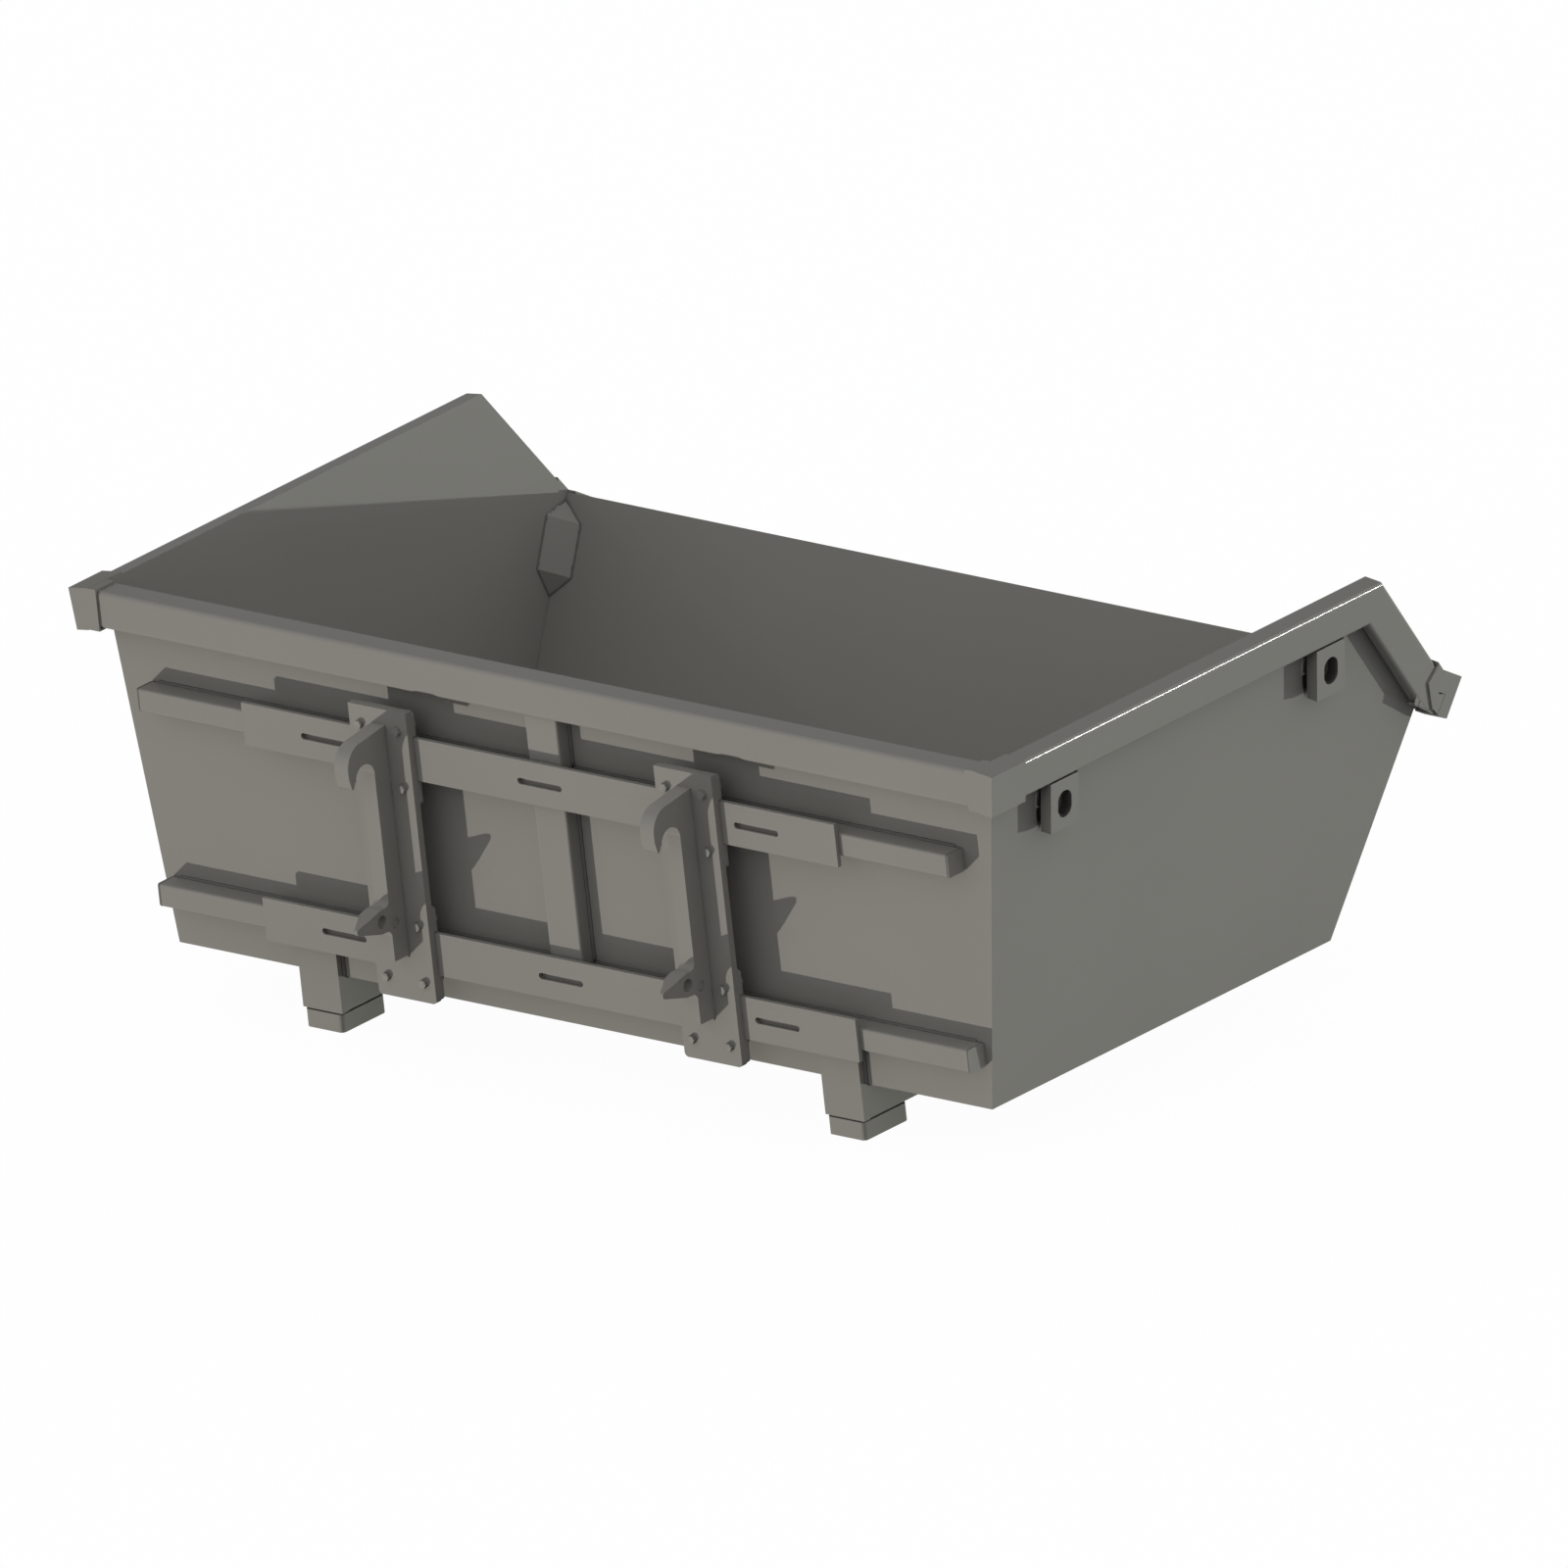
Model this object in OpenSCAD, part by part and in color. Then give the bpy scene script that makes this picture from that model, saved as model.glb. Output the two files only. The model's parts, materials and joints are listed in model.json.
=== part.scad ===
// Container bucket with a low pouring lip, bolted quick-hitch hooks and runners.
// Millimetres. X runs across the width, Y from the hook side to the pouring side, Z is up.
// The origin is on the ground, midway across the width and midway along the depth of the whole bucket.

/* [Body] */

// Width of the floor over the end walls
floor_w = 1768; // [1720:4:1900]
// Depth of the floor, from the hook-side wall to the back wall
floor_depth = 849; // [780:1:950]
// Height of the rim top above the ground
rim_top = 714; // [700:1:760]
// Height of the pouring lip above the ground
lip_top = 496; // [470:1:520]
// Length of the level part of the side rims, from the hook-side wall to the peak
peak_y = 944; // [900:1:980]
// Lean of the end walls from upright, in degrees
side_lean = 7.5; // [4:0.1:9]
// Lean of the back wall from upright, in degrees
back_lean = 31.8; // [28:0.1:34]
// Thickness of the wall and rim sheet
sheet_t = 4; // [3:0.5:5]

/* [Rim] */

// Overhang of the front rim and the pouring lip rim from the wall
rim_w = 40; // [34:1:50]
// Overhang of the side rims from the end walls
side_rim_w = 35; // [32:1:45]
// Height of the rim face
rim_h = 65; // [55:1:72]
// Width of the return flange under the rim
rim_return = 22; // [15:1:24]
// Outside radius of the rim folds
rim_bend_r = 7; // [6:0.5:10]
// Sheet thickness of the corner caps
cap_t = 4; // [3:0.5:5]
// Length of a corner cap along the front rim, from the end wall
cap_front = 20; // [10:1:60]
// Length of a corner cap along the side rim, from the front wall
cap_side = 41; // [30:1:70]
// Reach of a lip cap up the sloping rim, past the lip
tip_reach = 28; // [15:1:50]
// Width of the rim face at the tip, in front of the back wall
tip_face = 40; // [34:1:50]
// Distance from the lip back to the foot of the cap seam on the rim face
tip_seam = 28; // [20:1:34]

/* [Corner gussets] */

// Depth of the upper point of a gusset below the lip
gusset_drop = 10; // [5:1:40]
// Height of a gusset from point to point
gusset_h = 138; // [110:1:170]
// Height of each pointed end of a gusset
gusset_end_h = 31; // [20:1:45]
// Reach of a gusset from the corner along each wall
gusset_reach = 40; // [30:1:55]
// Plate thickness of a gusset
gusset_t = 5; // [3:0.5:6]

/* [Lifting lugs] */

// Width of a lug
lug_w = 70; // [60:1:90]
// Length of a lug below the rim
lug_h = 90; // [80:1:110]
// Thickness of a lug
lug_t = 22; // [15:1:22]
// Width of the oval lug hole
lug_hole_w = 34; // [24:1:40]
// Length of the oval lug hole
lug_hole_h = 48; // [42:1:60]
// Depth of the hole centre below the rim
lug_hole_drop = 46; // [40:1:50]
// Position of the first lug, from the hook-side wall to its middle
lug_front_y = 144; // [110:1:200]
// Position of the second lug, from the hook-side wall to its middle
lug_rear_y = 812; // [740:1:830]

/* [Front frame] */

// Outside size of the square tubes
tube_size = 40; // [36:1:44]
// Wall thickness of the square tubes and the post
tube_wall = 3; // [2:0.5:4]
// Outside corner radius of the square tubes and the post
tube_corner_r = 4; // [4:0.5:6]
// Inset of each tube end from the edge of the floor
tube_inset = 2; // [1:1:40]
// Thickness of the head of a tube end plug
plug_head = 3; // [2:0.5:5]
// Depth of a tube end plug inside the tube
plug_depth = 12; // [8:1:20]
// Depth of the upper tube and bar below the face of the front rim, to the middle
upper_drop = 114; // [100:1:126]
// Height of the lower tube and bar above the ground, to the middle
lower_z = 193; // [190:1:205]
// Height of the slotted bars
bar_w = 75; // [70:1:78]
// Thickness of the slotted bars
bar_t = 8; // [6:0.5:12]
// Length of the slotted bars
bar_len = 1290; // [1240:2:1500]
// Length of a bar slot
slot_len = 96; // [60:1:110]
// Height of a bar slot
slot_w = 11; // [9:0.5:16]
// Distance between bar slot middles
slot_pitch = 471; // [455:1:490]
// Width of the centre post
post_w = 70; // [50:1:90]
// Depth of the centre post
post_d = 30; // [24:1:36]

/* [Hooks] */

// Distance between the two hooks, middle to middle
hook_pitch = 665; // [600:1:700]
// Width of a base plate
plate_w = 125; // [118:1:135]
// Thickness of a base plate
plate_t = 13; // [9:0.5:15]
// Height of a base plate beyond the outer bolt rows
plate_edge = 34; // [28:1:36]
// Corner radius of the base plates and clamps
plate_corner_r = 8; // [4:1:12]
// Thickness of a hook
hook_t = 30; // [24:1:36]
// Depth of the hook web in front of its base plate
web_d = 37; // [32:1:45]
// Height of the bottom of the hook web above the ground
web_bottom = 190; // [180:1:200]
// Depth of the hook throat centre below the middle of the upper tube
throat_drop = 15; // [8:1:25]
// Radius of the hook throat
throat_r = 23; // [20:0.5:25]
// Thickness of metal over the hook throat
crown_h = 40; // [34:1:42]
// Radius of the outside of the hook crown
crown_r = 39.5; // [34:0.5:42]
// Rise of the hook top from the crown to the base plate
crown_rise = 9; // [4:1:12]
// Drop of the nose tip below the throat centre
nose_drop = 11; // [6:1:14]
// Width of the nose tip
nose_tip = 6; // [4:0.5:9]
// Height of the locking pin hole above the ground
pin_z = 266; // [262:1:280]
// Diameter of the locking pin hole
pin_d = 22; // [16:0.5:23]
// Width of metal round the locking pin hole
ear_wall = 9.5; // [8:0.5:11]
// Fillet radius where the ear meets the web, above
ear_fillet = 12; // [8:0.5:16]
// Reach of the guide horn beyond the ear
horn_reach = 39; // [30:1:45]
// Radius of the guide horn tip
horn_r = 6; // [4:0.5:8]
// Width of the guide horn at its tip
horn_tip_w = 6; // [5:0.5:12]
// Inset of the guide horn tip from the side of the hook
horn_inset = 3; // [0:0.5:6]
// Diameter of the shallow round recess in the side of a hook
recess_d = 18; // [12:1:20]
// Depth of the round recess
recess_depth = 2; // [1:0.5:4]
// Distance of the recess behind the locking pin hole, middle to middle
recess_back = 31; // [28:1:34]
// Drop of the recess below the locking pin hole
recess_drop = 12; // [4:1:16]

/* [Clamps and bolts] */

// Thickness of a clamp
clamp_t = 12; // [9:0.5:14]
// Clearance between a clamp and the tube beside it
clamp_gap = 2; // [1:0.5:4]
// Clearance between the heel of a clamp and the edge of the bar
heel_gap = 1; // [0.5:0.5:1.5]
// Distance between the two bolts of a row
bolt_pitch = 81; // [78:1:84]
// Distance of a bolt row from the middle of its bar
bolt_row = 50; // [49:0.5:52]
// Inset of the clamps from the ends of the base plate
clamp_inset = 2; // [1:0.5:4]
// Inset of the clamp jaw behind the bar from the sides and the end of the clamp
jaw_inset = 11; // [8:0.5:12]
// Thread size of the bolts
bolt_d = 8; // [6:1:10]
// Clearance of the bolt holes over the bolts
bolt_clear = 1; // [0.5:0.5:1.5]
// Hexagon size of heads and nuts, as a multiple of the thread size
hex_ratio = 1.65; // [1.5:0.05:1.8]
// Height of a bolt head, as a multiple of the thread size
head_ratio = 0.64; // [0.5:0.01:0.7]
// Height of a nut, as a multiple of the thread size
nut_ratio = 0.8; // [0.6:0.01:0.85]
// Washer size, as a multiple of the thread size
washer_ratio = 2; // [1.9:0.05:2.2]
// Washer thickness
washer_t = 2; // [1.5:0.5:3]
// Bolt length past its nut
bolt_over = 2; // [1:0.5:3]

/* [Runners and feet] */

// Distance between the runners, middle to middle
runner_pitch = 1136; // [1100:2:1160]
// Width of a runner
runner_w = 85; // [78:1:100]
// Height of a runner under the floor
runner_h = 62; // [50:1:72]
// Sheet thickness of a runner
runner_t = 5; // [4:0.5:8]
// Distance from the rear end of a runner to the back edge of the floor
runner_back = 25; // [15:1:60]
// Thickness of the leg plate in front of a runner
leg_t = 15; // [10:0.5:16]
// Width of a foot pad
pad_w = 80; // [70:1:84]
// Length of a foot pad
pad_len = 109; // [90:1:140]
// Height of a foot pad
pad_h = 31; // [24:1:36]
// Radius of the upright edges of a foot pad
pad_r = 8; // [4:0.5:12]
// Thickness of the shim between a pad and its runner
shim_t = 3; // [3:0.5:6]
// Inset of the shim from the edge of the pad
shim_inset = 4; // [3:0.5:8]

/* [Hidden] */

// Clearance between an end plug and its tube
plug_clear = 0.5;
// Clearance between round faces of one piece and another
round_clear = 0.3;
// Extra length of cutting shapes past the faces they cut
past = 5;

$fn = 64;

paint = [0.50, 0.49, 0.46];
paint_shade = [0.46, 0.46, 0.43];
paint_dark = [0.42, 0.42, 0.40];

half_floor = floor_w / 2;
runner_z = pad_h + shim_t;
floor_z = runner_z + runner_h;
upper_z = rim_top - rim_h - upper_drop;
throat_z = upper_z - throat_drop;
tube_len = floor_w - 2 * tube_inset;
side_run = tan(side_lean);
back_run = tan(back_lean);
rim_inner_r = rim_bend_r - sheet_t;

// Height of the end walls and the peak, measured along the leaning wall
wall_up = (rim_top - floor_z) / cos(side_lean);
// Height of the back wall, measured along the leaning wall to the lip
back_up = (lip_top - floor_z - sheet_t * sin(back_lean)) / cos(back_lean);
// Lean of the back wall in the plane of an end wall
seen_lean = atan(back_run * cos(side_lean));
// Lip corner of the sloping rim, in the plane of an end wall
lip_y = floor_depth + (lip_top - floor_z) * back_run - sheet_t / cos(back_lean);
lip_up = (lip_top - floor_z) / cos(side_lean);
// Steepness of the sloping rim in the plane of an end wall
slope_angle = atan((wall_up - lip_up) / (lip_y - peak_y));
// Run of the mitre at the peak, twice the rim height below it
mitre = 2 * rim_h * tan(slope_angle / 2);

bar_back = -tube_size;
bar_front = bar_back - bar_t;
plate_front = bar_front - plate_t;
clamp_back = bar_back + clamp_t;
web_front = plate_front - web_d;
throat_y = web_front - throat_r;
hole_d = bolt_d + bolt_clear;
ear_r = pin_d / 2 + ear_wall;
ear_y = web_front - ear_r;
ear_front = ear_y - ear_r;
// Outer edge of the pouring lip rim
lip_end = floor_depth + (back_up + cap_t) * sin(back_lean) + (rim_w + cap_t) * cos(back_lean);
// Middle of the whole depth, from the guide horns to the pouring lip
mid_y = (ear_front - horn_reach + lip_end) / 2;
room = 2 * body_span();

function body_span() = floor_w + rim_top + floor_depth;
// Inner face of an end wall at a height, measured from the middle
function inner_x(z) = half_floor + (z - floor_z) * side_run - sheet_t / cos(side_lean);
// Inner face of the back wall at a height
function inner_y(z) = floor_depth + (z - floor_z) * back_run - sheet_t / cos(back_lean);

// Draws a shape given in Y and Z as a solid running along X
module along_x(x0, x1) {
    translate([x0, 0, 0])
        rotate([90, 0, 90])
            linear_extrude(height = x1 - x0)
                children();
}

// Draws a shape given in X and Z as a solid running along Y
module along_y(y0, y1) {
    translate([0, y1, 0])
        rotate([90, 0, 0])
            linear_extrude(height = y1 - y0)
                children();
}

// Draws a shape given in X and Y as a solid running up Z
module along_z(z0, z1) {
    translate([0, 0, z0])
        linear_extrude(height = z1 - z0)
            children();
}

// Frame of the right end wall: X is outward, Y along the wall, Z up the wall from the floor
module in_side_frame() {
    translate([half_floor, 0, floor_z])
        rotate([0, side_lean, 0])
            children();
}

// Frame of the back wall: Y is outward, Z up the wall from the floor
module in_back_frame() {
    translate([0, floor_depth, floor_z])
        rotate([-back_lean, 0, 0])
            children();
}

// Frame of the sloping rim inside the side frame: Y runs down the slope from the peak
module in_slope_frame() {
    translate([0, peak_y, wall_up])
        rotate([-slope_angle, 0, 0])
            children();
}

// All space inside a face that lies parallel to the end wall, x0 out from its outer face
module side_room(x0, up) {
    in_side_frame()
        translate([x0 - room, -room / 2, -room / 2])
            cube([room, room, room / 2 + up]);
}

// Space between the two end walls, out to x0 from their outer faces
module between_sides(x0) {
    intersection() {
        side_room(x0, room / 2);
        mirror([1, 0, 0])
            side_room(x0, room / 2);
    }
}

// Space in front of the back wall, out to y0 from its outer face
module before_back(y0) {
    in_back_frame()
        translate([-room / 2, y0 - room, -room / 2])
            cube([room, room, room]);
}

module rounded_rect(w, h, r) {
    square([w, h - 2 * r], center = true);
    square([w - 2 * r, h], center = true);
    for (x = [-1, 1], y = [-1, 1])
        translate([x * (w / 2 - r), y * (h / 2 - r)])
            circle(r);
}

// Rectangle from x0 to x1 with the two corners at x1 rounded
module bent_side(x0, x1, y0, y1, r) {
    translate([x0, y0])
        square([x1 - r - x0, y1 - y0]);
    translate([x0, y0 + r])
        square([x1 - x0, y1 - y0 - 2 * r]);
    for (y = [y0 + r, y1 - r])
        translate([x1 - r, y])
            circle(r);
}

// Folded rim section: the wall face is at x = 0, the rim top at y = 0, the top laps over the wall by lap
module rim_section(w, lap) {
    difference() {
        bent_side(-lap, w, -rim_h, 0, rim_bend_r);
        bent_side(-lap - past, w - sheet_t, sheet_t - rim_h, -sheet_t, rim_inner_r);
        translate([-lap - past, -rim_h - past])
            square([lap + past + w - rim_return, rim_h + past - sheet_t]);
    }
}

// Outside of a cap that wraps a rim of overhang w, standing out and up past the rim
module cap_outline(w, out, up) {
    polygon([[w - rim_return, -rim_h - cap_t], [w + out, -rim_h - cap_t], [w + out, up],
        [-sheet_t, up], [-sheet_t, -rim_h / 2], [w - rim_return, -rim_h / 2]]);
}

module front_wall() {
    top = rim_top - sheet_t;
    half_top = half_floor + (top - floor_z) * side_run;
    color(paint)
        along_y(0, sheet_t)
            polygon([[-half_floor, floor_z], [half_floor, floor_z], [half_top, top], [-half_top, top]]);
}

module floor_plate() {
    color(paint_shade)
        intersection() {
            along_z(floor_z, floor_z + sheet_t)
                translate([-floor_w, sheet_t])
                    square([2 * floor_w, 2 * floor_depth]);
            between_sides(-sheet_t);
            before_back(-sheet_t);
        }
}

module back_wall() {
    color(paint_shade)
        intersection() {
            in_back_frame()
                translate([-floor_w, -sheet_t, -room / 2])
                    cube([2 * floor_w, sheet_t, room / 2 + back_up - sheet_t]);
            between_sides(-sheet_t);
            translate([-floor_w, 0, floor_z])
                cube([2 * floor_w, room, rim_top]);
        }
}

// Outline of an end wall in its own plane, Y and distance up the wall
module end_outline() {
    wall_top = wall_up - sheet_t;
    polygon([[sheet_t, 0], [floor_depth, 0], [floor_depth + wall_top * tan(seen_lean), wall_top],
        [sheet_t, wall_top]]);
}

// Space below the top of the sloping rim, lowered by drop, in the side frame
module below_slope(drop) {
    in_slope_frame()
        translate([-room / 2, -room / 2, -room - drop])
            cube([room, room, room]);
}

module end_wall() {
    intersection() {
        in_side_frame()
            intersection() {
                along_x(-sheet_t, 0)
                    end_outline();
                below_slope(sheet_t);
            }
        before_back(0);
    }
}

module end_wall_right() {
    color(paint)
        end_wall();
}

module end_wall_left() {
    color(paint)
        mirror([1, 0, 0])
            end_wall();
}

module front_rim() {
    color(paint)
        intersection() {
            along_x(-room / 2, room / 2)
                translate([0, rim_top])
                    mirror([1, 0])
                        rim_section(rim_w, sheet_t);
            side_room(side_rim_w, wall_up);
            mirror([1, 0, 0])
                side_room(side_rim_w, wall_up);
        }
}

// Rim along the top of the back wall
module lip_rim() {
    color(paint_shade)
        intersection() {
            in_back_frame()
                along_x(-room / 2, room / 2)
                    translate([0, back_up])
                        rim_section(rim_w, sheet_t);
            between_sides(side_rim_w);
            union() {
                between_sides(-sheet_t);
                in_back_frame()
                    translate([-room / 2, 0, -room / 2])
                        cube([room, room, room]);
            }
        }
}

// Level part of a side rim, mitred at the peak
module side_rim() {
    in_side_frame()
        intersection() {
            along_y(sheet_t, peak_y + rim_h)
                translate([0, wall_up])
                    rim_section(side_rim_w, sheet_t);
            along_x(-room / 2, room / 2)
                polygon([[0, wall_up - 2 * rim_h], [peak_y - mitre, wall_up - 2 * rim_h],
                    [peak_y, wall_up], [peak_y, wall_up + past], [0, wall_up + past]]);
        }
}

module side_rim_right() {
    color(paint)
        side_rim();
}

module side_rim_left() {
    color(paint)
        mirror([1, 0, 0])
            side_rim();
}

// Line across the end wall, square to the back wall, at a distance below the lip, in the side frame
module above_tip_line(drop) {
    in_back_frame()
        translate([-room / 2, -room / 2, back_up - drop])
            cube([room, room, room]);
}

// Sloping part of a side rim, from the mitre at the peak to the back wall
module slope_rim() {
    intersection() {
        in_side_frame()
            in_slope_frame()
                intersection() {
                    along_y(0, room / 4)
                        rim_section(side_rim_w, sheet_t);
                    along_x(-room / 2, room / 2)
                        polygon([[0, past], [0, 0], [mitre, -2 * rim_h], [room / 4, -2 * rim_h],
                            [room / 4, past]]);
                }
        before_back(0);
        above_tip_line(rim_h);
    }
    tip_plate();
}

// Plate that widens the rim face beside the back wall, with a folded lower edge
module tip_plate() {
    intersection() {
        in_side_frame()
            intersection() {
                along_x(side_rim_w - rim_return, side_rim_w)
                    polygon(tip_points());
                below_slope(rim_h - sheet_t);
            }
        before_back(0);
        above_tip_line(rim_h);
        union() {
            in_side_frame()
                translate([side_rim_w - sheet_t, 0, 0])
                    cube([sheet_t, room, room]);
            in_back_frame()
                translate([-room / 2, -room / 2, back_up - rim_h])
                    cube([room, room, sheet_t]);
        }
    }
}

// Corners of the tip plate, Y and distance up the wall
function tip_points() = [
    [lip_y + rim_h, lip_up],
    [lip_y - tip_face, lip_up],
    [lip_y - tip_face - rim_h * tan(seen_lean), lip_up - rim_h],
    [lip_y, lip_up - 2 * rim_h],
    [lip_y + rim_h, lip_up - rim_h]];

module slope_rim_right() {
    color(paint)
        slope_rim();
}

module slope_rim_left() {
    color(paint)
        mirror([1, 0, 0])
            slope_rim();
}

// Space inside the rims at a front corner, or outside the cap when grown
module corner_room(grow) {
    intersection() {
        side_room(side_rim_w + grow, wall_up + grow);
        translate([0, -rim_w - grow, 0])
            cube([room, room, room]);
    }
}

// Sleeve over the corner where the front rim meets a side rim
module corner_cap() {
    start = half_floor + (rim_top - floor_z) * side_run - cap_front;
    front = -rim_w - cap_t - past;
    difference() {
        intersection() {
            union() {
                along_x(start, room)
                    translate([0, rim_top])
                        mirror([1, 0])
                            cap_outline(rim_w, cap_t + past, cap_t);
                in_side_frame()
                    along_y(front - past, cap_side)
                        translate([0, wall_up])
                            cap_outline(side_rim_w, cap_t + past, cap_t + past);
            }
            corner_room(cap_t);
        }
        intersection() {
            union() {
                translate([0, front, rim_top - rim_h])
                    cube([room, sheet_t + past - front, rim_h]);
                in_side_frame()
                    translate([-sheet_t - past, front - past, wall_up - rim_h])
                        cube([room, room, 2 * rim_h]);
            }
            corner_room(0);
        }
    }
}

module corner_cap_right() {
    color(paint)
        corner_cap();
}

module corner_cap_left() {
    color(paint)
        mirror([1, 0, 0])
            corner_cap();
}

// Corners of the tip cap seen on the rim face, Y and distance up the wall
function cap_points() = [
    [lip_y + 2 * rim_h, lip_up + 2 * rim_h],
    [lip_y - tip_reach * cos(slope_angle) + cap_t, lip_up + 2 * rim_h],
    [lip_y - tip_reach * cos(slope_angle), lip_up + tip_reach * sin(slope_angle)],
    [lip_y - tip_face, lip_up],
    [lip_y - tip_seam, lip_up - rim_h],
    [lip_y + 2 * rim_h, lip_up - 3 * rim_h]];

// Sleeve over the corner where the sloping rim meets the lip rim
module tip_cap() {
    intersection() {
        difference() {
            union() {
                in_back_frame()
                    along_x(half_floor + (lip_top - floor_z) * side_run - cap_front, room / 2)
                        translate([0, back_up])
                            cap_outline(rim_w, cap_t, cap_t);
                intersection() {
                    in_side_frame()
                        intersection() {
                            along_x(-sheet_t, side_rim_w + cap_t)
                                polygon(cap_points());
                            below_slope(-cap_t);
                        }
                    before_back(0);
                    above_tip_line(rim_h + cap_t);
                }
            }
            intersection() {
                in_back_frame()
                    translate([-room / 2, rim_w - room, back_up - rim_h])
                        cube([room, room, rim_h]);
                side_room(side_rim_w, room / 2);
            }
            intersection() {
                in_side_frame()
                    below_slope(0);
                before_back(0);
                side_room(side_rim_w, room / 2);
            }
        }
        side_room(side_rim_w + cap_t, room / 2);
    }
}

module tip_cap_right() {
    color(paint)
        tip_cap();
}

module tip_cap_left() {
    color(paint)
        mirror([1, 0, 0])
            tip_cap();
}

// Point on the inner face of the right end wall, out from the corner with the back wall
function gusset_side(z, out) =
    let (high = z + out * sin(back_lean))
    [inner_x(high), inner_y(z) - out * cos(back_lean), high];

// Point on the inner face of the back wall, in from the corner with the right end wall
function gusset_back(z, out) = [inner_x(z) - out, inner_y(z), z];

// Solid between the two walls and the three faces of a gusset
module gusset_block() {
    top = lip_top - gusset_drop;
    low = top - gusset_h;
    upper = top - gusset_end_h;
    lower = low + gusset_end_h;
    polyhedron(
        points = [gusset_back(top, 0), gusset_side(upper, gusset_reach), gusset_back(upper, gusset_reach),
            gusset_side(lower, gusset_reach), gusset_back(lower, gusset_reach), gusset_back(low, 0)],
        faces = [[1, 2, 0], [3, 4, 2, 1], [5, 4, 3], [5, 3, 1, 0], [2, 4, 5, 0]]);
}

// Plate folded across the corner between the back wall and the right end wall
module gusset() {
    difference() {
        gusset_block();
        translate([gusset_t, gusset_t * cos(back_lean), -gusset_t * sin(back_lean)])
            gusset_block();
    }
}

module gusset_right() {
    color(paint_dark)
        gusset();
}

module gusset_left() {
    color(paint_dark)
        mirror([1, 0, 0])
            gusset();
}

// Lug under the return flange of the right side rim, with its middle at y
module lug(y) {
    low = wall_up - rim_h;
    slot = lug_hole_h - lug_hole_w;
    in_side_frame()
        along_x(side_rim_w - lug_t, side_rim_w)
            difference() {
                translate([y - lug_w / 2, low - lug_h])
                    square([lug_w, lug_h]);
                translate([y, low - lug_hole_drop]) {
                    square([lug_hole_w, slot], center = true);
                    for (side = [-1, 1])
                        translate([0, side * slot / 2])
                            circle(lug_hole_w / 2);
                }
            }
}

module lug_front_right() {
    color(paint)
        lug(lug_front_y);
}

module lug_front_left() {
    color(paint)
        mirror([1, 0, 0])
            lug(lug_front_y);
}

module lug_rear_right() {
    color(paint)
        lug(lug_rear_y);
}

module lug_rear_left() {
    color(paint)
        mirror([1, 0, 0])
            lug(lug_rear_y);
}

// Square tube across the hook side, with its middle at height z
module tube(z) {
    half = tube_len / 2 - plug_head;
    along_x(-half, half)
        translate([bar_back / 2, z])
            difference() {
                rounded_rect(tube_size, tube_size, tube_corner_r);
                rounded_rect(tube_size - 2 * tube_wall, tube_size - 2 * tube_wall, tube_corner_r / 2);
            }
}

module tube_upper() {
    color(paint)
        tube(upper_z);
}

module tube_lower() {
    color(paint)
        tube(lower_z);
}

module tube_plugs() {
    inside = tube_size - 2 * tube_wall - 2 * plug_clear;
    end = tube_len / 2;
    color(paint_dark)
        for (side = [0, 1], z = [lower_z, upper_z])
            mirror([side, 0, 0]) {
                along_x(end - plug_head, end)
                    translate([bar_back / 2, z])
                        rounded_rect(tube_size, tube_size, tube_corner_r);
                along_x(end - plug_head - plug_depth, end - plug_head)
                    translate([bar_back / 2, z])
                        rounded_rect(inside, inside, tube_corner_r / 2);
            }
}

// Length of the centre post between two heights
module post(z0, z1) {
    along_z(z0, z1)
        translate([0, -post_d / 2])
            difference() {
                rounded_rect(post_w, post_d, tube_corner_r);
                rounded_rect(post_w - 2 * tube_wall, post_d - 2 * tube_wall, tube_corner_r / 2);
            }
}

module post_lower() {
    color(paint)
        post(lower_z + tube_size / 2, upper_z - tube_size / 2);
}

module post_upper() {
    color(paint)
        post(upper_z + tube_size / 2, rim_top - rim_h);
}

// Flat bar on the face of a tube, with three slots
module bar(z) {
    along_y(bar_front, bar_back)
        translate([0, z])
            difference() {
                square([bar_len, bar_w], center = true);
                for (x = [-slot_pitch, 0, slot_pitch])
                    translate([x, 0]) {
                        square([slot_len - slot_w, slot_w], center = true);
                        for (side = [-1, 1])
                            translate([side * (slot_len - slot_w) / 2, 0])
                                circle(slot_w / 2);
                    }
            }
}

module bar_upper() {
    color(paint)
        bar(upper_z);
}

module bar_lower() {
    color(paint)
        bar(lower_z);
}

// Heights of the four bolt rows, from the top
rows = [upper_z + bolt_row, upper_z - bolt_row, lower_z + bolt_row, lower_z - bolt_row];

// Puts a shape at each of the eight bolt places of a hook, in X and Z
module at_bolts() {
    for (x = [-bolt_pitch / 2, bolt_pitch / 2], z = rows)
        translate([x, z])
            children();
}

module base_plate() {
    low = lower_z - bolt_row - plate_edge;
    high = upper_z + bolt_row + plate_edge;
    along_y(plate_front, bar_front)
        difference() {
            union() {
                translate([0, (low + high) / 2])
                    rounded_rect(plate_w, high - low, plate_corner_r);
                translate([-plate_w / 2, (low + high) / 2])
                    square([plate_w, (high - low) / 2]);
            }
            at_bolts()
                circle(hole_d / 2);
        }
}

module base_plate_left() {
    color(paint)
        translate([-hook_pitch / 2, 0, 0])
            base_plate();
}

module base_plate_right() {
    color(paint)
        translate([hook_pitch / 2, 0, 0])
            base_plate();
}

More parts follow.
